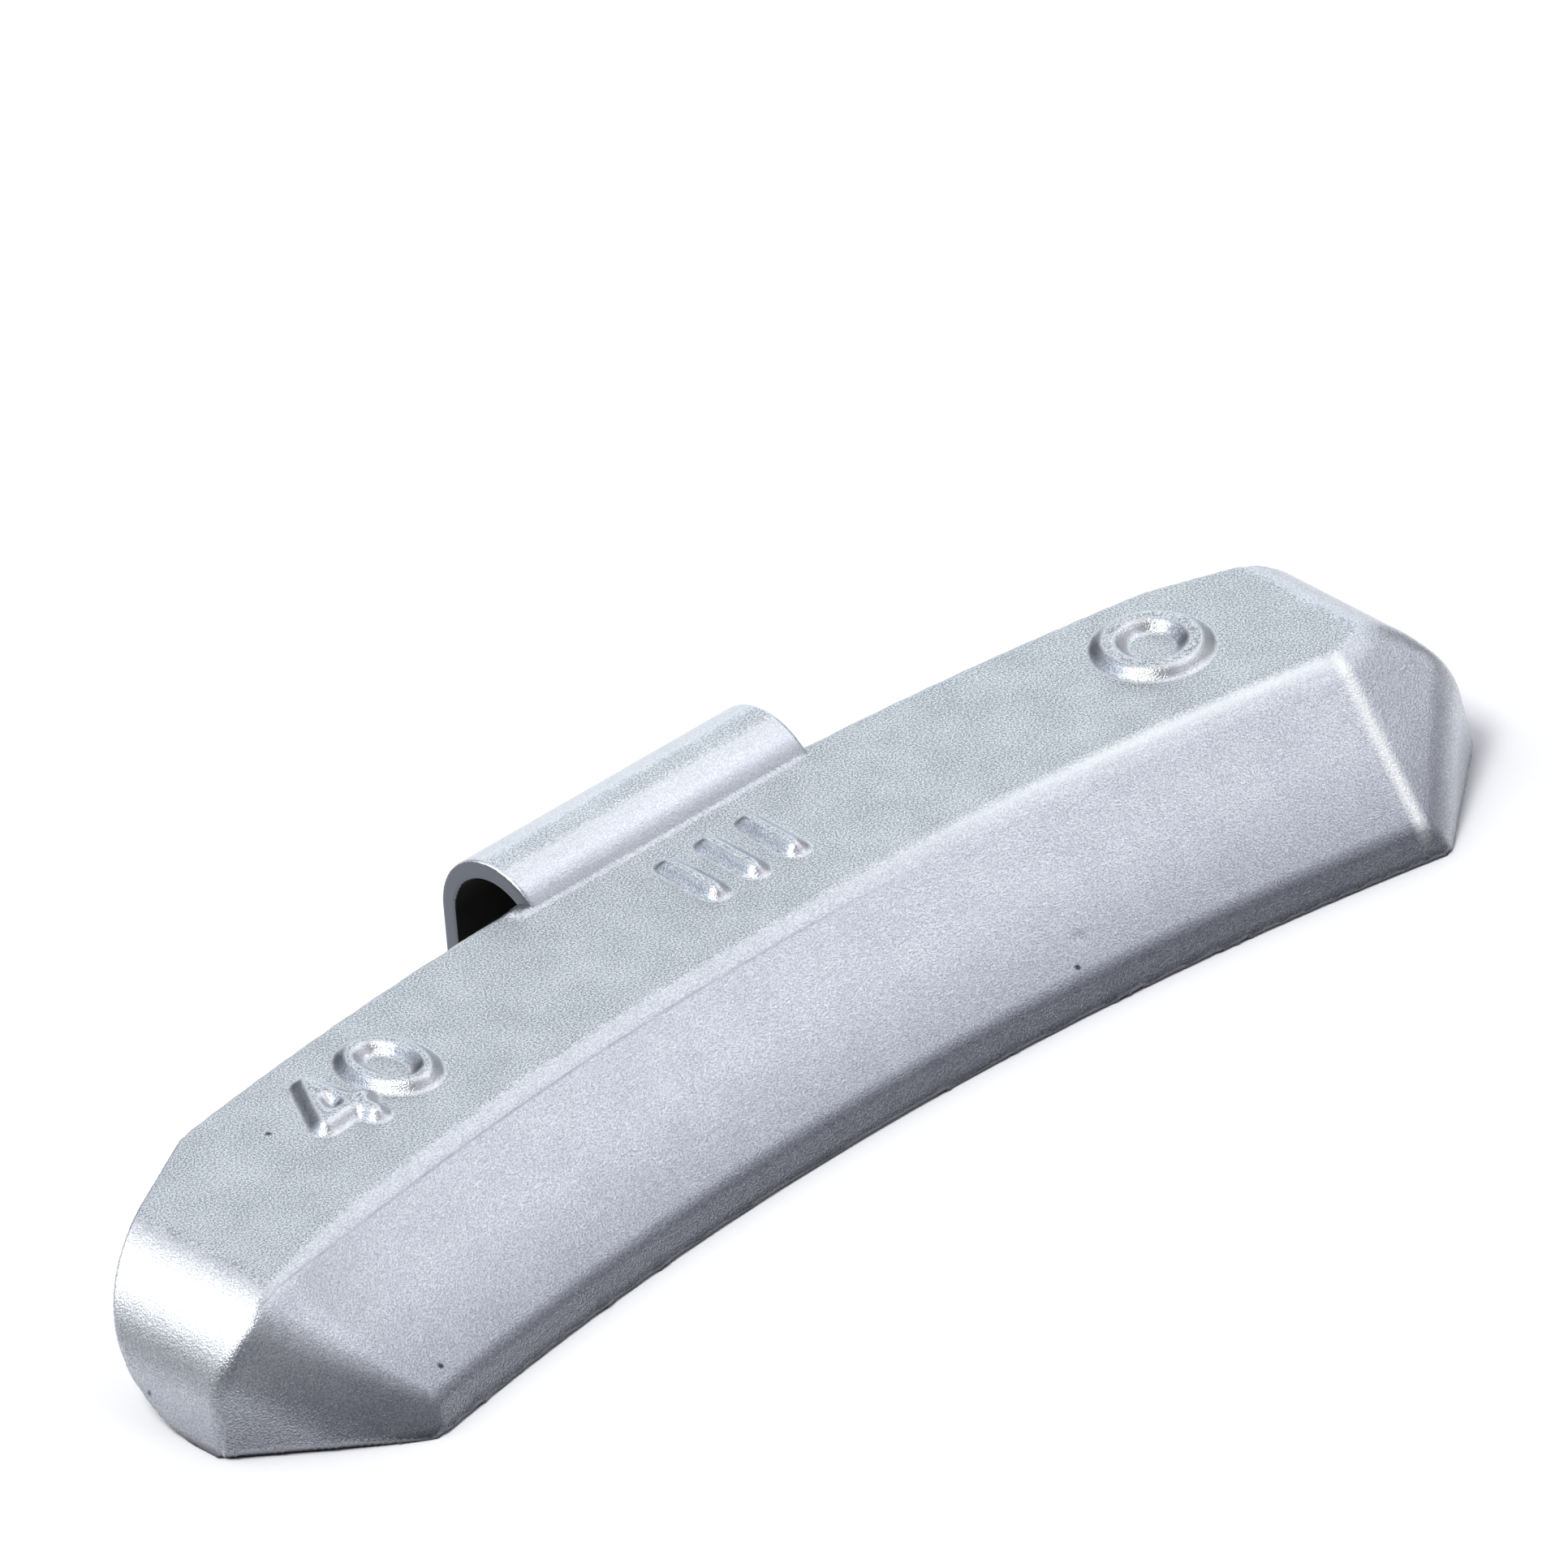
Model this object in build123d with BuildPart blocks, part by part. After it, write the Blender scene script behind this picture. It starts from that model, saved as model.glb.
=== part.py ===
# Clip-on balance weight for a steel car wheel: a curved zinc casting that lies along the
# inside of the rim flange, with a spring steel clip cast into its back edge.
# Z points outboard, away from the tyre, Y points radially outward to the rim lip and
# X runs along the rim. The origin is on the marked face, in the middle of the back edge.
import os
from math import cos, radians, sin, sqrt, tan

from build123d import *

os.makedirs("parts", exist_ok=True)

# Casting, in plan: every long edge is an arc about the wheel axis
RIM_RADIUS = 162.5          # back edge, measured from the wheel axis
FACE_WIDTH = 9.95           # marked face, back edge to ridge
FRONT_WIDTH = 17.45         # back edge to the low edge of the front face
FOOT_WIDTH = 18.2           # back edge to the foot

# Casting, in height below the marked face
LOW_DROP = 4.6              # low edge of the front face
FOOT_DROP = 6.1             # foot, and the flat underside

# Casting, half lengths and end shape
BACK_LEFT = 27.3            # back edge up to the tapered corner at the left end
BACK_RIGHT = 29.9           # the same at the right end, which is cut back less
RIDGE_LEFT = 33.0           # ridge up to the left end facet
RIDGE_RIGHT = 31.8          # the same at the right end
LOW_LEFT = 29.9             # low edge up to the left end facet
LOW_RIGHT = 29.5            # the same at the right end
FOOT_HALF = 30.3            # foot up to either end facet
FACE_END = 36.1             # end of the marked face before it is rounded over
LOW_END = 37.3              # end at the height of the low edge
FOOT_END = 37.5             # end at the foot
TAPER_LEFT = 0.54           # run of the tapered back corner, Y for each X
TAPER_RIGHT = 0.40          # the same at the right end
END_FRONT_FACE = 15.1       # front corner of the end, at the marked face
END_FRONT_LOW = 15.0        # the same corner at the height of the low edge
END_FRONT_FOOT = 15.1       # the same corner at the foot

# Casting, edge rounding
END_ROUND = 3.1             # marked face over the end
EDGE_ROUND = 1.0            # ridge, low edge and end facets
BACK_ROUND = 5.5            # underside into the back wall
CORNER_ROUND = 6.0          # tapered back corners, in plan
OVER = 3.0                  # the drafted block runs past the back wall before it is trimmed

# Clip, in section: a hook over the rim lip
CLIP_GAUGE = 0.9            # strip thickness
CLIP_WIDTH = 16.5           # along the rim
CLIP_OFFSET = 3.2           # the clip sits a little off the middle of the casting
HOOK_RADIUS = 2.6           # inside of the bend
HOOK_Y = 1.7                # centre of the bend behind the back edge
HOOK_Z = -2.3               # centre of the bend below the marked face
SLOPE = 45.0                # degrees, flat of the strip where it enters the casting
TAIL = 3.2                  # straight leg below the bend, on the tyre side
ROOT = 3.2                  # length of strip held in the zinc


def on_arc(width, half):
    # Y of a point at X = half on the long arc that lies "width" in front of the back edge
    return sqrt((RIM_RADIUS - width) ** 2 - half ** 2) - RIM_RADIUS


def block_outline(front, left, right, end, end_front):
    # outline of the drafted block at one height, run in the same order at every height
    left_corner = (-left, on_arc(front, left))
    right_corner = (right, on_arc(front, right))
    with BuildLine() as line:
        Line((-end, OVER), (end, OVER))
        Line((end, OVER), (end, -end_front))
        Line((end, -end_front), right_corner)
        ThreePointArc(right_corner, (0, -front), left_corner)
        Line(left_corner, (-end, -end_front))
        Line((-end, -end_front), (-end, OVER))
    return line.line


def strip_side(radius):
    # root, start of bend, end of bend and tip of one side of the strip
    slope = radians(SLOPE)
    first = (HOOK_Y - radius * sin(slope), HOOK_Z + radius * cos(slope))
    reach = HOOK_Z / sin(slope) + radius / tan(slope) + ROOT
    root = (first[0] - reach * cos(slope), first[1] - reach * sin(slope))
    last = (HOOK_Y + radius, HOOK_Z)
    tip = (HOOK_Y + radius, HOOK_Z - TAIL)
    return root, first, last, tip


# Spring steel clip, drawn in section and extruded across its width
with BuildPart() as retaining_clip:
    with BuildSketch(Plane.YZ.offset(CLIP_OFFSET - CLIP_WIDTH / 2)) as strip:
        with BuildLine() as strip_edge:
            outer_root, outer_start, outer_end, outer_tip = strip_side(HOOK_RADIUS + CLIP_GAUGE)
            inner_root, inner_start, inner_end, inner_tip = strip_side(HOOK_RADIUS)
            Line(outer_root, outer_start)
            CenterArc((HOOK_Y, HOOK_Z), HOOK_RADIUS + CLIP_GAUGE, 90 + SLOPE, -90 - SLOPE)
            Line(outer_end, outer_tip)
            Line(outer_tip, inner_tip)
            Line(inner_tip, inner_end)
            CenterArc((HOOK_Y, HOOK_Z), HOOK_RADIUS, 0, 90 + SLOPE)
            Line(inner_start, inner_root)
            Line(inner_root, outer_root)
        make_face()
    extrude(amount=CLIP_WIDTH)
retaining_clip.part.label = "retaining_clip"

# Zinc casting: drafted block with the sloping front and the end facets
with BuildPart() as weight_body:
    with BuildSketch(Plane.XY) as face_level:
        add(block_outline(FACE_WIDTH, RIDGE_LEFT, RIDGE_RIGHT, FACE_END, END_FRONT_FACE))
        make_face()
    with BuildSketch(Plane.XY.offset(-LOW_DROP)) as low_level:
        add(block_outline(FRONT_WIDTH, LOW_LEFT, LOW_RIGHT, LOW_END, END_FRONT_LOW))
        make_face()
    loft(ruled=True)
    with BuildSketch(Plane.XY.offset(-LOW_DROP)) as low_again:
        add(block_outline(FRONT_WIDTH, LOW_LEFT, LOW_RIGHT, LOW_END, END_FRONT_LOW))
        make_face()
    with BuildSketch(Plane.XY.offset(-FOOT_DROP)) as foot_level:
        add(block_outline(FOOT_WIDTH, FOOT_HALF, FOOT_HALF, FOOT_END, END_FRONT_FOOT))
        make_face()
    loft(ruled=True)
    top_edges = weight_body.faces().sort_by(Axis.Z)[-1].edges()
    fillet(top_edges.sort_by(Axis.X)[0], END_ROUND)
    top_edges = weight_body.faces().sort_by(Axis.Z)[-1].edges()
    fillet(top_edges.sort_by(Axis.X)[-1], END_ROUND)

    # ridge, low edge and end facets are all softened alike
    front_edges = weight_body.edges().filter_by(
        lambda e: e.center().Y < -FACE_WIDTH + 0.1 and e.center().Z > -FOOT_DROP + 0.1
    )
    fillet(front_edges, EDGE_ROUND)

    # back wall: follows the rim lip, tapers off at both ends and rounds into the underside
    with BuildPart(mode=Mode.INTERSECT) as back_wall:
        left_y = on_arc(0, BACK_LEFT)
        right_y = on_arc(0, BACK_RIGHT)
        far = FOOT_END + OVER
        near = -FOOT_WIDTH - OVER * 2
        with BuildSketch(Plane.XY.offset(-FOOT_DROP)) as plan:
            with BuildLine() as plan_edge:
                ThreePointArc((-BACK_LEFT, left_y), (0, 0), (BACK_RIGHT, right_y))
                Line((BACK_RIGHT, right_y), (far, right_y - TAPER_RIGHT * (far - BACK_RIGHT)))
                Line((far, right_y - TAPER_RIGHT * (far - BACK_RIGHT)), (far, near))
                Line((far, near), (-far, near))
                Line((-far, near), (-far, left_y - TAPER_LEFT * (far - BACK_LEFT)))
                Line((-far, left_y - TAPER_LEFT * (far - BACK_LEFT)), (-BACK_LEFT, left_y))
            make_face()
            corners = plan.vertices().filter_by(lambda v: abs(v.X) < FOOT_END)
            fillet(corners, CORNER_ROUND)
        extrude(amount=FOOT_DROP)
        under = back_wall.faces().sort_by(Axis.Z)[0].edges()
        fillet(under.filter_by(lambda e: e.center().Y > -FACE_WIDTH), BACK_ROUND)

    add(retaining_clip.part, mode=Mode.SUBTRACT)
weight_body.part.label = "weight_body"

export_step(retaining_clip.part, "parts/retaining_clip.step")
export_step(weight_body.part, "parts/weight_body.step")
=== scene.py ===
import math

import bpy
import numpy as np
from mathutils import Matrix, Vector


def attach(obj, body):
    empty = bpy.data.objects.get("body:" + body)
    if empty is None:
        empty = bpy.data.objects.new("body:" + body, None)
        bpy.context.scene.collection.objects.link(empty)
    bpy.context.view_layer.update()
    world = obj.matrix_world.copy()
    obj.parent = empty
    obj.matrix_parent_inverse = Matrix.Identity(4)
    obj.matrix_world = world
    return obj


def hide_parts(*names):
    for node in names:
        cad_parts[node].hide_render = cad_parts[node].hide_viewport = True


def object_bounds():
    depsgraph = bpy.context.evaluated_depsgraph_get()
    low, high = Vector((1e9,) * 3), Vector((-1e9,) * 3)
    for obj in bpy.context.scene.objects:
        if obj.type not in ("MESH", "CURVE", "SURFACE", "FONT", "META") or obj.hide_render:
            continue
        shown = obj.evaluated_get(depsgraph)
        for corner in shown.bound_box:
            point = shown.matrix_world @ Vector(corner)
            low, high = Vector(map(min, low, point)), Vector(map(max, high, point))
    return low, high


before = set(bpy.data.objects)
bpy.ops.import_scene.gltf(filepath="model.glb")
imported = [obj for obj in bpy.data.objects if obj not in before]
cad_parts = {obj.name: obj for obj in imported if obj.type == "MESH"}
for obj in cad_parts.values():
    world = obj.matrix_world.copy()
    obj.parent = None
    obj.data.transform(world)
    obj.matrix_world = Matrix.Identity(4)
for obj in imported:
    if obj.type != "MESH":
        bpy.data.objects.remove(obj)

cad_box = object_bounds()
scene = bpy.context.scene

# Sizes are in millimetres, and a piece is scaled to metres when its shape is done
MM = 0.001
RIM_RADIUS = 162.5                       # back edge of the casting, from the wheel axis
SEAM = 0.001                             # corners of a solid's mesh nearer than this are joined

# Sockets of a Mix node, several of which share one name
FACTOR, FLOAT_A, FLOAT_B, COLOUR_A, COLOUR_B = 0, 2, 3, 6, 7
COLOUR_RESULT = 2


# Colours are written as sRGB hex and turned to linear here
def tint(text):
    parts = [int(text[i:i + 2], 16) / 255 for i in (1, 3, 5)]
    return tuple(c / 12.92 if c <= 0.04045 else ((c + 0.055) / 1.055) ** 2.4 for c in parts) + (1.0,)


# Adds one node with its settings; links maps an input socket to the output that feeds it
def add(tree, kind, settings=None, links=None):
    made = tree.nodes.new(kind)
    for name, value in (settings or {}).items():
        if isinstance(name, int) or name in made.inputs:
            made.inputs[name].default_value = value
        else:
            setattr(made, name, value)
    for name, source in (links or {}).items():
        tree.links.new(source, made.inputs[name])
    return made


def fill_ramp(ramp, stops):
    # first and last stop are there already, the others are put between them
    for element, (at, colour) in zip(ramp.elements, (stops[0], stops[-1])):
        element.position, element.color = at, tint(colour)
    for at, colour in stops[1:-1]:
        ramp.elements.new(at).color = tint(colour)


def new_material(name):
    mat = bpy.data.materials.new(name)
    mat.use_nodes = True
    mat.node_tree.nodes.clear()
    return mat, mat.node_tree


# Silver coating with metal flake, sprayed on rough cast zinc or on smooth strip steel. It gives a
# satin sheen that follows the studio, broken up by a fine glittering grain. The grain is drawn coarser
# than real flake so that it shows, and its dark is deeper on surfaces that lie level, partly as grain and
# partly as painted shade. Painted shade darkens the coat towards the foot, and painted highlights
# brighten two edges at the right end.
FLAKE = 0.085                            # grain of the flake
CLOUD, CLOUD_SHARE = 2.4, 0.1            # patches of thicker and thinner coat, and their part in the grain
PEEL, PEEL_STRENGTH = 0.55, 0.25         # waves left by the spray
RELIEF = 0.02                            # depth of the grain and of the waves

# Painted shade by height, with the foot first
FOOT_SHADE = [(-6.1, "#5a5a5e"), (-5.6, "#c8c8cc"), (-4.6, "#d4d4d8"), (-2.2, "#ffffff")]

# Lines and spots on the coat. A pair says where one begins to show and where it shows in full
MOULD_LINE, RIDGE_LINE = 10.6, 9.65                    # mould line and painted ridge highlight, from the back edge
MOULD_HALF, RIDGE_HALF = (0.09, 0.02), (0.6, 0.1)      # half widths
MOULD_FADE = (12.0, 0.0)                               # the line fades out right of the middle
RIDGE_RISE, RIDGE_STOP = (2.0, 20.0), (32.0, 31.0)     # the painted ridge highlight rises from there and stops at the right end cut
RIDGE_HIGHLIGHT = 0.6                                       # strength of the painted ridge highlight
EDGE_HIGHLIGHT_FROM = Vector((31.8, -13.3, 0.0))               # painted highlight on an edge of the right end cut, down from the ridge
EDGE_HIGHLIGHT_WAY = Vector((-2.3, -7.15, -4.6)).normalized()
EDGE_HIGHLIGHT_HALF = (0.5, 0.1)
SPECKS = [(-28.16, -19.41, -4.12), (11.64, -17.45, -4.31), (-24.61, -5.06, 0.0), (-37.2, -10.6, -4.7)]
SPECK_HALF = (0.2, 0.08)


def flake_colours(tree, grain, facing, dark, light, level_grain_and_shade):
    # from the dark to the light of the grain, with a deeper dark where the surface lies level, partly grain
    # and partly painted shade
    level = add(tree, "ShaderNodeMapRange", {"From Min": 0.975, "From Max": 0.998},
                {"Value": facing["Z"]}).outputs["Result"]
    low = add(tree, "ShaderNodeMix", {"data_type": "RGBA", COLOUR_A: tint(dark), COLOUR_B: tint(level_grain_and_shade)},
              {FACTOR: level}).outputs[COLOUR_RESULT]
    high = add(tree, "ShaderNodeMapRange", {"From Min": 0.39, "From Max": 0.61},
               {"Value": grain}).outputs["Result"]
    return add(tree, "ShaderNodeMix", {"data_type": "RGBA", COLOUR_B: tint(light)},
               {FACTOR: high, COLOUR_A: low}).outputs[COLOUR_RESULT]


def painted_foot_shade(tree, coat, axes, facing):
    # painted shade, darker towards the foot, and less so on surfaces that look to the right
    foot = FOOT_SHADE[0][0]
    drop = add(tree, "ShaderNodeMapRange", {"From Min": foot * MM, "From Max": 0.0},
               {"Value": axes["Z"]}).outputs["Result"]
    shade = add(tree, "ShaderNodeValToRGB", links={"Fac": drop})
    fill_ramp(shade.color_ramp, [(1 - z / foot, colour) for z, colour in FOOT_SHADE])
    amount = add(tree, "ShaderNodeMapRange", {"From Min": 0.5, "From Max": 0.2, "To Min": 0.6},
                 {"Value": facing["X"]}).outputs["Result"]
    return add(tree, "ShaderNodeMix", {"data_type": "RGBA", "blend_type": "MULTIPLY"},
               {FACTOR: amount, COLOUR_A: coat, COLOUR_B: shade.outputs["Color"]}).outputs[COLOUR_RESULT]


def painted_side_light(tree, coat, facing, side_shade_colour, side_highlight):
    # painted shade on sides that look left, in the shade colour given, and a painted highlight that whitens
    # sides looking to the front
    left_facing = add(tree, "ShaderNodeMapRange", {"From Min": -0.18, "From Max": -0.45},
               {"Value": facing["X"]}).outputs["Result"]
    coat = add(tree, "ShaderNodeMix", {"data_type": "RGBA", "blend_type": "MULTIPLY", COLOUR_B: tint(side_shade_colour)},
               {FACTOR: left_facing, COLOUR_A: coat}).outputs[COLOUR_RESULT]
    front = add(tree, "ShaderNodeMapRange", {"From Min": -0.12, "From Max": -0.4, "To Max": side_highlight},
                {"Value": facing["Y"]}).outputs["Result"]
    return add(tree, "ShaderNodeMix", {"data_type": "RGBA", COLOUR_B: tint("#ffffff")},
               {FACTOR: front, COLOUR_A: coat}).outputs[COLOUR_RESULT]


def beside_arc(tree, place, width):
    # distance from the arc about the wheel axis that lies this far inwards from the back edge
    from_axis = add(tree, "ShaderNodeVectorMath",
                    {"operation": "MULTIPLY_ADD", 1: (1, 1, 0), 2: (0, RIM_RADIUS * MM, 0)},
                    {0: place}).outputs["Vector"]
    radius = add(tree, "ShaderNodeVectorMath", {"operation": "LENGTH"}, {0: from_axis}).outputs["Value"]
    beside = add(tree, "ShaderNodeMath", {"operation": "SUBTRACT", 1: (RIM_RADIUS - width) * MM},
                 {0: radius}).outputs["Value"]
    return add(tree, "ShaderNodeMath", {"operation": "ABSOLUTE"}, {0: beside}).outputs["Value"]


def mould_line(tree, place, axes, cloud):
    # the fine, broken line where the mould closed
    line = add(tree, "ShaderNodeMapRange", {"From Min": MOULD_HALF[0] * MM, "From Max": MOULD_HALF[1] * MM},
               {"Value": beside_arc(tree, place, MOULD_LINE)}).outputs["Result"]
    broken = add(tree, "ShaderNodeMapRange", {"From Min": 0.35, "From Max": 0.6, "To Min": 0.3},
                 {"Value": cloud}).outputs["Result"]
    fading = add(tree, "ShaderNodeMapRange", {"From Min": MOULD_FADE[0] * MM, "From Max": MOULD_FADE[1] * MM},
                 {"Value": axes["X"]}).outputs["Result"]
    for share in (broken, fading):
        line = add(tree, "ShaderNodeMath", {"operation": "MULTIPLY"}, {0: line, 1: share}).outputs["Value"]
    return line


def painted_ridge_highlight(tree, place, axes):
    # painted highlight along the ridge, growing towards the right end
    crown = add(tree, "ShaderNodeMapRange",
                {"From Min": RIDGE_HALF[0] * MM, "From Max": RIDGE_HALF[1] * MM, "To Max": RIDGE_HIGHLIGHT},
                {"Value": beside_arc(tree, place, RIDGE_LINE)}).outputs["Result"]
    for begin, full in (RIDGE_RISE, RIDGE_STOP):
        share = add(tree, "ShaderNodeMapRange", {"From Min": begin * MM, "From Max": full * MM},
                    {"Value": axes["X"]}).outputs["Result"]
        crown = add(tree, "ShaderNodeMath", {"operation": "MULTIPLY"}, {0: crown, 1: share}).outputs["Value"]
    return crown


def painted_edge_highlight(tree, place, grain):
    # painted highlight along the edge, broken up by the grain
    from_start = add(tree, "ShaderNodeVectorMath", {"operation": "SUBTRACT", 1: EDGE_HIGHLIGHT_FROM * MM},
                     {0: place}).outputs["Vector"]
    across = add(tree, "ShaderNodeVectorMath", {"operation": "CROSS_PRODUCT", 1: EDGE_HIGHLIGHT_WAY},
                 {0: from_start}).outputs["Vector"]
    beside = add(tree, "ShaderNodeVectorMath", {"operation": "LENGTH"}, {0: across}).outputs["Value"]
    edge = add(tree, "ShaderNodeMapRange", {"From Min": EDGE_HIGHLIGHT_HALF[0] * MM, "From Max": EDGE_HIGHLIGHT_HALF[1] * MM},
               {"Value": beside}).outputs["Result"]
    grain_breakup = add(tree, "ShaderNodeMapRange", {"From Min": 0.3, "From Max": 0.55, "To Min": 0.55},
               {"Value": grain}).outputs["Result"]
    return add(tree, "ShaderNodeMath", {"operation": "MULTIPLY"}, {0: edge, 1: grain_breakup}).outputs["Value"]


def dark_speck(tree, place, at):
    far = add(tree, "ShaderNodeVectorMath", {"operation": "DISTANCE", 1: [c * MM for c in at]},
              {0: place}).outputs["Value"]
    return add(tree, "ShaderNodeMapRange", {"From Min": SPECK_HALF[0] * MM, "From Max": SPECK_HALF[1] * MM},
               {"Value": far}).outputs["Result"]


def silver_coating(name, glitter, roughness, dark, light, level_grain_and_shade, side_shade_colour="#ffffff", side_highlight=0.0):
    mat, tree = new_material(name)
    place = add(tree, "ShaderNodeTexCoord").outputs["Object"]
    axes = add(tree, "ShaderNodeSeparateXYZ", links={"Vector": place}).outputs
    normal = add(tree, "ShaderNodeNewGeometry").outputs["Normal"]
    facing = add(tree, "ShaderNodeSeparateXYZ", links={"Vector": normal}).outputs
    flake = add(tree, "ShaderNodeTexNoise", {"Scale": 1 / (FLAKE * MM), "Detail": 2.0, "Roughness": 0.65},
                {"Vector": place}).outputs["Fac"]
    cloud = add(tree, "ShaderNodeTexNoise", {"Scale": 1 / (CLOUD * MM), "Detail": 3.0, "Roughness": 0.6},
                {"Vector": place}).outputs["Fac"]
    grain = add(tree, "ShaderNodeMix", {"data_type": "FLOAT", FACTOR: CLOUD_SHARE},
                {FLOAT_A: flake, FLOAT_B: cloud}).outputs["Result"]

    coat = flake_colours(tree, grain, facing, dark, light, level_grain_and_shade)
    # painted shade towards the foot
    coat = painted_foot_shade(tree, coat, axes, facing)
    # painted shade on sides that look left, painted highlight on sides that look to the front
    coat = painted_side_light(tree, coat, facing, side_shade_colour, side_highlight)
    # mould line, painted highlights on the ridge and on an edge of the right end cut, and dark specks
    traces = [(mould_line(tree, place, axes, cloud), "#b9bdc4"),
              (painted_ridge_highlight(tree, place, axes), "#fcfdff"),
              (painted_edge_highlight(tree, place, grain), "#fcfdf8")]
    traces += [(dark_speck(tree, place, at), "#4a4a50") for at in SPECKS]
    for trace, colour in traces:
        coat = add(tree, "ShaderNodeMix", {"data_type": "RGBA", COLOUR_B: tint(colour)},
                   {FACTOR: trace, COLOUR_A: coat}).outputs[COLOUR_RESULT]

    peel = add(tree, "ShaderNodeTexNoise", {"Scale": 1 / (PEEL * MM), "Detail": 1.0},
               {"Vector": place}).outputs["Fac"]
    wavy = add(tree, "ShaderNodeBump", {"Strength": PEEL_STRENGTH, "Distance": RELIEF * MM},
               {"Height": peel}).outputs["Normal"]
    gritty = add(tree, "ShaderNodeBump", {"Strength": glitter, "Distance": RELIEF * MM},
                 {"Height": flake, "Normal": wavy}).outputs["Normal"]
    shader = add(tree, "ShaderNodeBsdfPrincipled", {"Metallic": 1.0, "Roughness": roughness},
                 {"Base Color": coat, "Normal": gritty})
    add(tree, "ShaderNodeOutputMaterial", links={"Surface": shader.outputs["BSDF"]})
    return mat


# Bare steel of the strip, dull where it was sheared; inside the hook a near black painted shade
STEEL_MOTTLE = 0.2                       # patches left by rolling and shearing


def steel_or_painted_shade(name, colour, roughness):
    mat, tree = new_material(name)
    place = add(tree, "ShaderNodeTexCoord").outputs["Object"]
    mottle = add(tree, "ShaderNodeTexNoise", {"Scale": 1 / (STEEL_MOTTLE * MM), "Detail": 2.0},
                 {"Vector": place}).outputs["Fac"]
    dent = add(tree, "ShaderNodeBump", {"Strength": 0.4, "Distance": RELIEF * MM},
               {"Height": mottle}).outputs["Normal"]
    shader = add(tree, "ShaderNodeBsdfPrincipled",
                 {"Base Color": tint(colour), "Metallic": 0.4, "Roughness": roughness}, {"Normal": dent})
    add(tree, "ShaderNodeOutputMaterial", links={"Surface": shader.outputs["BSDF"]})
    return mat


# the dark for level surfaces is partly grain and partly painted shade
ON_ZINC = {"glitter": 1.3, "roughness": 0.30, "dark": "#bcc1c9", "light": "#eceef1", "level_grain_and_shade": "#7f868c"}
ON_STEEL = {"glitter": 0.8, "roughness": 0.33, "dark": "#ccd1d7", "light": "#eef0f3", "level_grain_and_shade": "#8c9399"}
coated_zinc = silver_coating("silver_coated_zinc", **ON_ZINC)
coated_steel = silver_coating("silver_coated_spring_steel", **ON_STEEL)
# The same coat on the raised marks, with painted shade on their sides that look left and a painted highlight
# on their near sides
marked_zinc = silver_coating("silver_coated_zinc_marks", **ON_ZINC, side_shade_colour="#9ca1a7", side_highlight=0.45)
sheared_steel = steel_or_painted_shade("sheared_spring_steel", "#6f737b", 0.6)
# near black painted shade for the inside of the hook
painted_hook_shade = steel_or_painted_shade("painted_shade_in_hook", "#060607", 0.9)


def select_only(piece):
    bpy.ops.object.select_all(action="DESELECT")
    piece.select_set(True)
    bpy.context.view_layer.objects.active = piece


def edit_all(piece):
    # edit mode with the whole mesh selected
    select_only(piece)
    bpy.ops.object.mode_set(mode="EDIT")
    bpy.ops.mesh.select_all(action="SELECT")


def copy_of(node, name):
    # a loose copy of a solid, in millimetres, with its seams joined and its labels taken off
    select_only(node)
    bpy.ops.object.duplicate()
    piece = bpy.context.object
    piece.name = piece.data.name = name
    for key in list(piece.keys()):
        del piece[key]
    piece.data.materials.clear()
    edit_all(piece)
    bpy.ops.mesh.remove_doubles(threshold=SEAM * MM)
    bpy.ops.mesh.customdata_custom_splitnormals_clear()
    bpy.ops.transform.resize(value=(1 / MM,) * 3, center_override=(0, 0, 0))
    bpy.ops.object.mode_set(mode="OBJECT")
    return piece


def even_out(piece, rounds):
    # spreads the vertices evenly, so that none lie on top of each other
    edit_all(piece)
    bpy.ops.mesh.vertices_smooth(factor=0.5, repeat=rounds)
    bpy.ops.object.mode_set(mode="OBJECT")


def to_metres(piece):
    edit_all(piece)
    bpy.ops.transform.resize(value=(MM,) * 3, center_override=(0, 0, 0))
    bpy.ops.object.mode_set(mode="OBJECT")


def along(x, y):
    # distance along the back edge and inwards from it, for points of the marked face
    return np.arctan2(x, y + RIM_RADIUS) * RIM_RADIUS, RIM_RADIUS - np.hypot(x, y + RIM_RADIUS)


def pick(piece, test):
    # selects, in edit mode, the vertices whose place on the marked face passes the test
    bpy.ops.object.mode_set(mode="EDIT")
    bpy.ops.mesh.select_mode(type="VERT")
    bpy.ops.mesh.select_all(action="DESELECT")
    bpy.ops.object.mode_set(mode="OBJECT")
    place = np.empty(len(piece.data.vertices) * 3)
    piece.data.vertices.foreach_get("co", place)
    x, y, _ = place.reshape(-1, 3).T
    piece.data.vertices.foreach_set("select", test(*along(x, y)))
    bpy.ops.object.mode_set(mode="EDIT")


def to_stroke(s, w, stroke):
    # distance from points of the face to a straight stroke
    (s0, w0), (s1, w1) = stroke
    ds, dw = s1 - s0, w1 - w0
    t = np.clip(((s - s0) * ds + (w - w0) * dw) / (ds * ds + dw * dw), 0, 1)
    return np.hypot(s - s0 - t * ds, w - w0 - t * dw)


def to_oval(s, w, at, half_s, half_w):
    # distance to an oval line, near enough for a thin stroke
    u, v = (s - at[0]) / half_s, (w - at[1]) / half_w
    size = np.hypot(u, v) + 1e-6
    return np.abs(size - 1) * np.hypot(u * half_s, v * half_w) / size


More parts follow.
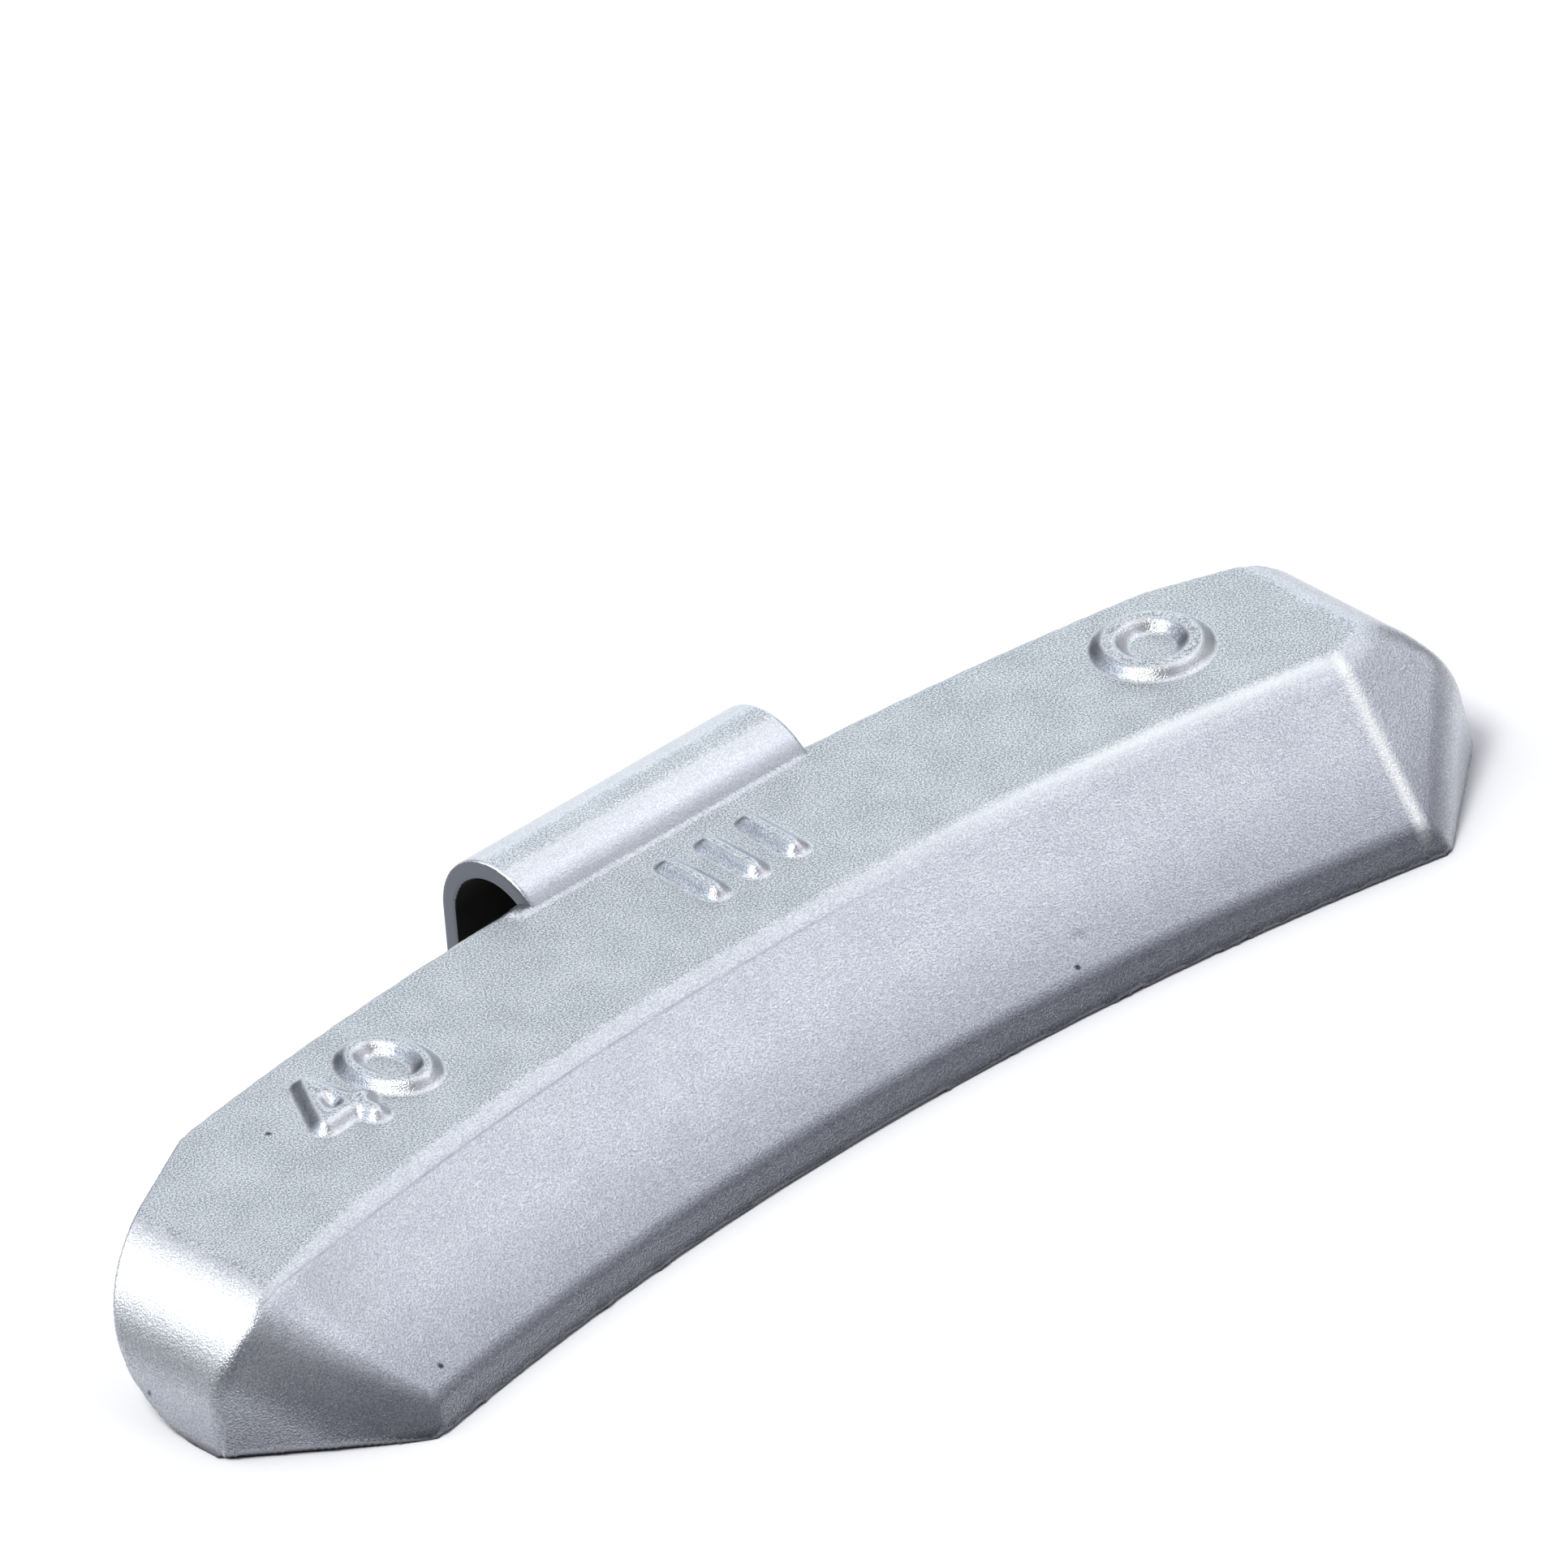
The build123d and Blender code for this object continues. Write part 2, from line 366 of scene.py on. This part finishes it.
# Raised marks of the casting: strokes on the marked face, along the back edge and inwards from it
FOUR = [((-21.4, 2.2), (-23.5, 5.0)), ((-23.5, 5.0), (-20.8, 5.0)), ((-21.4, 2.2), (-21.4, 6.2))]
ZERO_AT, ZERO_SIZE = (-18.1, 4.2), (1.4, 2.0)
BARS = [((s, 3.0), (s, 6.0)) for s in (1.2, 3.6, 6.0)]
RING_AT, RING_SIZE = (27.9, 4.0), 2.0
PEN, RING_PEN = 0.46, 0.6                # half width of the strokes
MARK_HEIGHT, MARK_ROUNDING = 0.48, 34    # height before the strokes are smoothed, and rounds of smoothing
SHEET_DEPTH, SHEET_GAUGE, SHEET_MESH = 0.015, 0.2, 0.07          # sheet of a mark, just under the face


def on_mark(s, w):
    found = to_oval(s, w, ZERO_AT, *ZERO_SIZE) < PEN
    found |= to_oval(s, w, RING_AT, RING_SIZE, RING_SIZE) < RING_PEN
    for stroke in FOUR + BARS:
        found |= to_stroke(s, w, stroke) < PEN
    return found


def raised_mark(name, centre, size):
    # a fine sheet that lies just under the marked face and rises through it along the strokes
    s, w = centre
    angle = s / RIM_RADIUS
    radius = RIM_RADIUS - w
    at = (radius * math.sin(angle), radius * math.cos(angle) - RIM_RADIUS, -SHEET_DEPTH)
    bpy.ops.object.select_all(action="DESELECT")
    bpy.ops.mesh.primitive_grid_add(x_subdivisions=round(size[0] / SHEET_MESH),
                                    y_subdivisions=round(size[1] / SHEET_MESH), size=1.0)
    piece = bpy.context.object
    piece.name = piece.data.name = name
    edit_all(piece)
    bpy.ops.transform.resize(value=(size[0], size[1], 1), center_override=(0, 0, 0))
    bpy.ops.transform.rotate(value=angle, orient_axis="Z", center_override=(0, 0, 0))
    bpy.ops.transform.translate(value=at)
    pick(piece, on_mark)
    bpy.ops.transform.translate(value=(0, 0, MARK_HEIGHT))
    bpy.ops.mesh.select_all(action="SELECT")
    bpy.ops.mesh.vertices_smooth(factor=0.5, repeat=MARK_ROUNDING, xaxis=False, yaxis=False)
    bpy.ops.object.mode_set(mode="OBJECT")
    to_metres(piece)
    back = piece.modifiers.new("back", "SOLIDIFY")
    back.thickness = SHEET_GAUGE * MM
    back.offset = -1.0
    bpy.ops.object.modifier_apply(modifier="back")
    bpy.ops.object.shade_smooth()
    return piece


# Each mark with the middle and the size of its sheet
for mark in (raised_mark("mass_number", (-20.0, 4.2), (9.4, 7.0)),
             raised_mark("cavity_bars", (3.6, 4.5), (8.0, 5.4)),
             raised_mark("cavity_ring", RING_AT, (6.8, 6.4))):
    mark.data.materials.append(marked_zinc)
    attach(mark, "root")

# Shape of the casting: heights are below the marked face, widths run inwards from the back edge,
# half lengths run out from the middle
RIDGE, LOW, FOOT = (9.95, 0.0), (17.45, -4.6), (18.2, -6.1)      # width and height of the long edges
LEFT_END, RIGHT_END = (36.6, 37.5), (37.2, 37.0)                 # half length at the face and at the foot
BACK_LEFT, BACK_RIGHT = 27.3, 29.9                               # half length of the back edge
TAPER_LEFT, TAPER_RIGHT = 0.54, 0.40                             # run of the back corners, Y for each X
BEND, FLARE, FLARE_ROUND = 28.1, 0.13, 1.5                       # the face widens a little at the left end
FOOT_CLEAR = 0.002                                               # keeps it above the foot of the solid

# End cuts: half length of a corner each flat passes through, and the way it looks at the right end
LEFT_UPPER, RIGHT_UPPER = (29.95, (0.20, -0.668, 0.717)), (29.5, (0.158, -0.568, 0.807))
LEFT_LOWER, RIGHT_LOWER = (30.5, (0.625, -0.72, 0.30)), (30.3, (0.62, -0.76, 0.20))

# Rounding of the casting's edges
LEFT_NOSE, RIGHT_NOSE, UNDER = 4.5, 3.6, 5.5                     # over the ends and under the back
LEFT_FLATS, RIGHT_FLATS = 1.5, 0.8                               # between the two flats of an end cut
LEFT_CUT, LEFT_CUT_LEAST, LEFT_CUT_FALL = 1.0, 0.2, 0.17         # left cut, and its loss for each mm down
RIGHT_CUT = 0.16
RIDGE_ROUND, RIDGE_MOST, RIDGE_GROWTH = 0.32, 0.52, 0.009        # ridge, and its growth for each mm right
LOW_ROUND, CORNER_ROUND, BACK_ROUND = 0.2, 0.12, 0.1             # low edge, back corners, back edge

# Bank of zinc that wells up under the clip: top edge, back, bottom, half width and rounding
BANK_TOP, BANK_BACK, BANK_BOTTOM, BANK_HALF, BANK_ROUND = 0.90, -0.65, -0.6, 8.0, 0.2

# Clip: centre of its bend, radius to the middle of the strip, straight legs, middle and half of its width
HOOK_Y, HOOK_Z, HOOK_RADIUS = 1.7, -2.3, 3.05
ROOT_LEG, TAIL_LEG, HALF_GAUGE = 3.0, 3.2, 0.448
CLIP_X, CLIP_HALF = 3.2, 8.25
SIDE_ROUND, TIP_ROUND = 0.17, 0.1

# Flaws left by casting: place, height (a dent is negative) and width
FLAWS = [((-5.3, -0.28, 0.0), 0.9, 0.42),                        # bead beside the clip
         ((12.7, -16.5, -3.68), -0.1, 0.25)]                     # nick in the front
FLASH_HEIGHT, FLASH_WIDTH = 0.16, 0.3
FLASH = [(19.5, -19.65), (18.2, -19.5), (13.75, -18.75), (12.95, -18.8), (6.65, -18.5), (2.75, -18.25),
         (-14.6, -19.0), (-18.4, -19.4), (-27.2, -20.55)]
FLAWS += [((x, y, FOOT[1]), FLASH_HEIGHT, FLASH_WIDTH) for x, y in FLASH]


def soften(a, b, size):
    # the outer one of two surfaces, with the edge between them rounded off
    round_off = np.hypot(np.maximum(a + size, 0), np.maximum(b + size, 0)) - size
    return np.where(np.minimum(a, b) > -size, round_off, np.maximum(a, b))


def slope(w, z, upper, lower):
    # distance outside the sloping face that joins two long edges
    run, drop = lower[0] - upper[0], upper[1] - lower[1]
    return (drop * (w - upper[0]) + run * (z - upper[1])) / math.hypot(run, drop)


def on_edge(edge, half):
    # point of a long edge at this half length
    return np.array((half, math.sqrt((RIM_RADIUS - edge[0]) ** 2 - half ** 2) - RIM_RADIUS, edge[1]))


def end_cut(x, y, z, upper, lower, blend):
    # the two flats that cut one end, the lower one steeper, rounded into each other
    flats = []
    for edge, (half, way) in ((LOW, upper), (FOOT, lower)):
        at = on_edge(edge, half)
        flats.append((x - at[0]) * way[0] + (y - at[1]) * way[1] + (z - at[2]) * way[2])
    return soften(*flats, blend)


def outside_front(x, y, z, w):
    # the sloping front, the bevel above the foot and the cuts at both ends
    flare = FLARE * (np.hypot(x + BEND, FLARE_ROUND) - x - BEND) / 2 * np.clip(1 - z / LOW[1], 0, 1)
    front = soften(slope(w - flare, z, RIDGE, LOW), slope(w, z, LOW, FOOT), LOW_ROUND)
    left_round = np.clip(LEFT_CUT + LEFT_CUT_FALL * z, LEFT_CUT_LEAST, LEFT_CUT)
    front = soften(front, end_cut(-x, y, z, LEFT_UPPER, LEFT_LOWER, LEFT_FLATS), left_round)
    return soften(front, end_cut(x, y, z, RIGHT_UPPER, RIGHT_LOWER, RIGHT_FLATS), RIGHT_CUT)


def outside_back(x, y, z, w):
    # the back wall, which tapers off at both ends and rounds into the underside
    back = -w
    for side, start, taper in ((-1, BACK_LEFT, TAPER_LEFT), (1, BACK_RIGHT, TAPER_RIGHT)):
        start_y = on_edge((0.0, 0.0), start)[1]
        cut = (y - start_y + taper * (side * x - start)) / math.hypot(1, taper)
        back = soften(back, cut, CORNER_ROUND)
    return soften(back, FOOT[1] - z, UNDER)


def outside(x, y, z):
    # distance outside the casting, negative within it
    w = along(x, y)[1]
    end = np.where(x < 0, slope(-x, z, (LEFT_END[0], 0.0), (LEFT_END[1], FOOT[1])),
                   slope(x, z, (RIGHT_END[0], 0.0), (RIGHT_END[1], FOOT[1])))
    body = soften(z, end, np.where(x < 0, LEFT_NOSE, RIGHT_NOSE))
    ridge_round = np.clip(RIDGE_ROUND + RIDGE_GROWTH * x, RIDGE_ROUND, RIDGE_MOST)
    body = soften(body, outside_front(x, y, z, w), ridge_round)
    for (fx, fy, fz), height, width in FLAWS:
        body = body - height * np.exp(-((x - fx) ** 2 + (y - fy) ** 2 + (z - fz) ** 2) / width ** 2)
    body = soften(body, outside_back(x, y, z, w), BACK_ROUND)
    bank = np.maximum((z - y - BANK_TOP) / math.sqrt(2), np.abs(x - CLIP_X) - BANK_HALF)
    bank = np.maximum(np.maximum(bank, y - BANK_BACK), BANK_BOTTOM - z)
    body = -soften(-body, -bank, BANK_ROUND)
    return np.maximum(body, FOOT[1] + FOOT_CLEAR - z)


def settle(piece, rounds, shape):
    # moves every vertex onto the surface of a shape, straight towards it
    place = np.empty(len(piece.data.vertices) * 3)
    piece.data.vertices.foreach_get("co", place)
    spot = place.reshape(-1, 3).T.copy()
    step, least_tilt = 0.01, 0.2
    for turn in range(rounds):
        gap = shape(*spot)
        tilt = np.array([shape(*(spot + step * axis[:, None])) - gap for axis in np.eye(3)]) / step
        spot -= tilt * gap / np.maximum((tilt ** 2).sum(axis=0), least_tilt)
    piece.data.vertices.foreach_set("co", spot.T.ravel())
    piece.data.update()


# Size of the mesh, and the block that fills the solid's slot for the clip, which the bank covers
CASTING_MESH, CLIP_MESH = 0.22, 0.12
PLUG_SIZE, PLUG_Y, PLUG_Z = (17.2, 3.7, 2.55), -2.35, -1.325


def cast_weight():
    # the casting with its mixed edges and flaws, settled from an even mesh of the solid
    piece = copy_of(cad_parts["weight_body"], "coated_casting")
    bpy.ops.mesh.primitive_cube_add(size=1.0)
    plug = bpy.context.object
    plug.scale = PLUG_SIZE
    plug.location = (CLIP_X, PLUG_Y, PLUG_Z)
    piece.select_set(True)
    bpy.context.view_layer.objects.active = piece
    bpy.ops.object.join()
    piece.data.remesh_voxel_size = CASTING_MESH
    bpy.ops.object.voxel_remesh()
    settle(piece, 3, outside)
    even_out(piece, 3)
    settle(piece, 2, outside)
    to_metres(piece)
    bpy.ops.object.shade_smooth()
    return piece


casting = cast_weight()
casting.data.materials.append(coated_zinc)
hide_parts("weight_body")
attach(casting, "root")


def outside_strip(x, y, z):
    # distance outside the bent strip: a sloping leg held in the zinc, the bend, and a hanging leg
    u, v = y - HOOK_Y, z - HOOK_Z
    hanging = (v < 0) & (u > 0)
    held = (u + v < 0) & ~hanging
    middle = np.where(hanging, u, np.where(held, (v - u) / math.sqrt(2), np.hypot(u, v)))
    flat = np.abs(middle - HOOK_RADIUS) - HALF_GAUGE
    tip = np.where(hanging, -v - TAIL_LEG, np.where(held, -(u + v) / math.sqrt(2) - ROOT_LEG, -TAIL_LEG))
    return soften(soften(flat, np.abs(x - CLIP_X) - CLIP_HALF, SIDE_ROUND), tip, TIP_ROUND)


# How squarely a face looks along the strip's width, to be left bare, or at the middle of the bend, to take
# the painted shade
SHEARED_FACING, HOOK_FACING = 0.75, 0.3


def spring_clip():
    # the strip with its cut edges broken; bare steel shows at the ends, and painted shade inside the hook
    piece = copy_of(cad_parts["retaining_clip"], "coated_clip")
    for mat in (coated_steel, sheared_steel, painted_hook_shade):
        piece.data.materials.append(mat)
    piece.data.remesh_voxel_size = CLIP_MESH
    bpy.ops.object.voxel_remesh()
    settle(piece, 3, outside_strip)
    even_out(piece, 2)
    settle(piece, 3, outside_strip)
    for face in piece.data.polygons:
        inward = face.normal.y * (HOOK_Y - face.center.y) + face.normal.z * (HOOK_Z - face.center.z)
        if abs(face.normal.x) > SHEARED_FACING:
            face.material_index = 1
        # faces inside the hook take the painted shade
        elif inward > HOOK_FACING:
            face.material_index = 2
        else:
            face.material_index = 0
    to_metres(piece)
    bpy.ops.object.shade_smooth()
    return piece


clip = spring_clip()
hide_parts("retaining_clip")
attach(clip, "root")

# Floor of matt white paper, which takes a soft shadow
FLOOR_SIZE = 12.0                        # metres
floor_z = cad_box[0].z
bpy.ops.object.select_all(action="DESELECT")
bpy.ops.mesh.primitive_plane_add(size=FLOOR_SIZE, location=(0, 0, floor_z))
floor = bpy.context.object
floor.name = "studio_floor"
paper, paper_tree = new_material("white_paper")
matt = add(paper_tree, "ShaderNodeBsdfDiffuse", {"Color": tint("#fafafa")})
add(paper_tree, "ShaderNodeOutputMaterial", links={"Surface": matt.outputs["BSDF"]})
floor.data.materials.append(paper)

# Studio: a grey tent that gets a little darker from overhead down to the horizon
TENT = [(0.0, "#50515b"), (0.3, "#5b5c66"), (0.6, "#64656e"), (1.0, "#6c6d76")]
world = bpy.data.worlds.new("studio")
scene.world = world
world.use_nodes = True
tent_tree = world.node_tree
tent_tree.nodes.clear()
outlook = add(tent_tree, "ShaderNodeTexCoord").outputs["Generated"]
outlook_axes = add(tent_tree, "ShaderNodeSeparateXYZ", links={"Vector": outlook}).outputs
tent = add(tent_tree, "ShaderNodeValToRGB", links={"Fac": outlook_axes["Z"]})
fill_ramp(tent.color_ramp, TENT)
glow = add(tent_tree, "ShaderNodeBackground", {"Strength": 1.0}, {"Color": tent.outputs["Color"]})
add(tent_tree, "ShaderNodeOutputWorld", links={"Surface": glow.outputs["Background"]})


def softbox(name, way, distance, size, power, colour="#ffffff"):
    # a lamp that stands this way and this far from the object, in metres, and is turned to it
    data = bpy.data.lights.new(name, "AREA")
    data.shape = "RECTANGLE"
    data.size, data.size_y = size
    data.energy = power
    data.color = tint(colour)[:3]
    lamp = bpy.data.objects.new(name, data)
    scene.collection.objects.link(lamp)
    way = Vector(way).normalized()
    across = (Vector((1, 0, 0)) - way * way.x).normalized()
    turn = Matrix((across, way.cross(across), way)).transposed().to_4x4()
    lamp.matrix_world = Matrix.Translation(way * distance) @ turn


softbox("front_softbox", (0.545, -0.14, 0.825), 1.0, (0.64, 0.34), 1.28, "#f8f8ff")
softbox("clip_softbox", (0.54, -0.58, 0.61), 1.0, (0.40, 0.20), 0.37, "#f6f6ff")
softbox("ridge_softbox", (0.50, 0.27, 0.82), 1.05, (0.6, 0.36), 0.82)
softbox("back_softbox", (-0.35, 0.64, 0.68), 1.0, (0.8, 0.75), 4.0)
softbox("fill_panel", (0.20, 0.64, 0.74), 1.05, (0.35, 0.5), 0.35)
softbox("back_panel", (0.65, 0.68, 0.38), 1.1, (0.75, 0.95), 2.4, "#f3fbff")
softbox("left_panel", (-0.75, 0.64, 0.17), 1.1, (0.35, 0.5), 0.08)
softbox("right_panel", (0.96, -0.14, 0.23), 1.1, (0.50, 0.7), 0.5)
softbox("near_panel", (-0.05, -0.68, 0.73), 1.1, (0.9, 0.6), 0.55)
softbox("top_softbox", (-0.40, 0.15, 0.90), 1.0, (0.4, 0.4), 5.5)

# Camera: a long lens from the front left, a third of the way up
CAMERA_TARGET = Vector((7.555, -3.684, 1.478))
CAMERA_DISTANCE = 2955.0
FOCAL_LENGTH, SENSOR_WIDTH = 1555.118, 36.0
azimuth, height, roll = math.radians(-40.29), math.radians(32.77), math.radians(5.23)
back = Vector((math.sin(azimuth) * math.cos(height), -math.cos(azimuth) * math.cos(height), math.sin(height)))
side = (-back).cross(Vector((0, 0, 1))).normalized()
top = side.cross(-back)
right = side * math.cos(roll) - top * math.sin(roll)
upward = side * math.sin(roll) + top * math.cos(roll)
lens = bpy.data.cameras.new("camera")
lens.sensor_width = SENSOR_WIDTH
lens.lens = FOCAL_LENGTH
lens.clip_start, lens.clip_end = 0.01, 100.0
camera = bpy.data.objects.new("camera", lens)
scene.collection.objects.link(camera)
turn = Matrix((right, upward, back)).transposed().to_4x4()
camera.matrix_world = Matrix.Translation(CAMERA_TARGET * MM + back * (CAMERA_DISTANCE * MM)) @ turn
scene.camera = camera

scene.view_settings.view_transform = "Standard"
